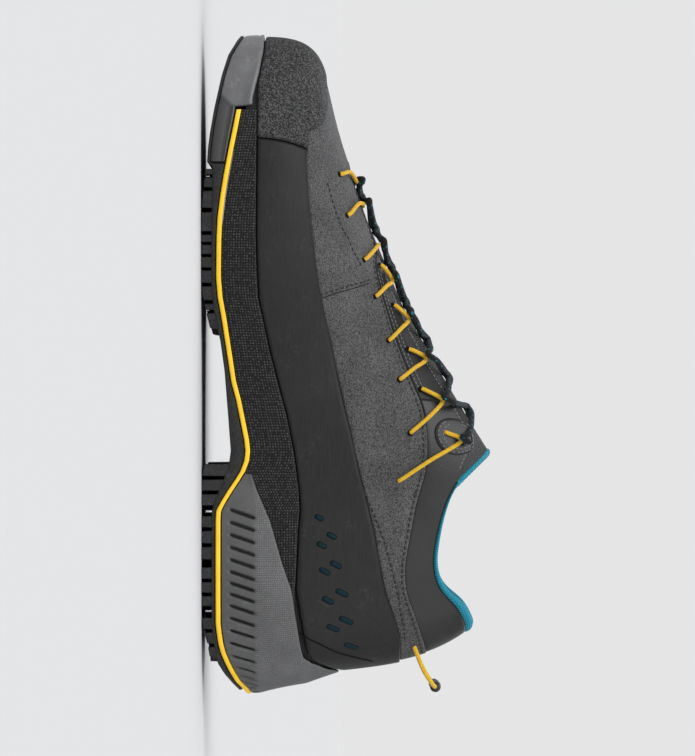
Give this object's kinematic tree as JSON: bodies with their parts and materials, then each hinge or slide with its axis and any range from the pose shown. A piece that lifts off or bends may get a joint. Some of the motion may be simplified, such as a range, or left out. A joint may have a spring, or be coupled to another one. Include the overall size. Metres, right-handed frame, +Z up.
{
  "type": "approach shoe",
  "caption": "Low lace-up approach shoe for the right foot, with rubber toe cap and rand, cord lace loops, a lugged sole, a ribbed heel band and a pull loop at the heel.",
  "frame": {"origin": "centre of the bounding box, on the floor under the sole", "axes": "+Z up, the toe towards -X, the inner side of the foot towards -Y and the outer side towards +Y"},
  "size_m": [0.2954, 0.1082, 0.1277],
  "materials": {
    "outsole": "matte black rubber",
    "stripe": "matte yellow rubber",
    "midsole": "black open knit over foam",
    "bumper": "grey satin rubber",
    "stabilizer": "grey moulded plastic with fine texture",
    "upper": "dark grey suede",
    "cap": "grainy black rubber",
    "rand": "smooth black rubber",
    "lining": "teal knit",
    "tongue": "dark grey knit",
    "insole": "black textile over foam",
    "loop": "yellow cord",
    "lace": "black round lace with teal flecks",
    "sleeve": "black soft sleeve"
  },
  "bodies": {
    "root": {"outsole": "outsole", "sole_stripe": "stripe", "midsole": "midsole", "toe_bumper": "bumper", "heel_stabilizer": "stabilizer", "upper": "upper", "toe_cap": "cap", "rand": "rand", "collar_lining": "lining", "tongue": "tongue", "insole": "insole", "loop_medial_1": "loop", "loop_medial_2": "loop", "loop_medial_3": "loop", "loop_medial_4": "loop", "loop_medial_5": "loop", "loop_medial_6": "loop", "loop_medial_7": "loop", "loop_medial_8": "loop", "loop_lateral_1": "loop", "loop_lateral_2": "loop", "loop_lateral_3": "loop", "loop_lateral_4": "loop", "loop_lateral_5": "loop", "loop_lateral_6": "loop", "loop_lateral_7": "loop", "loop_lateral_8": "loop", "laces": "lace", "pull_cord_lateral": "loop", "pull_sleeve": "sleeve", "pull_cord_medial": "loop"}
  },
  "joints": []
}
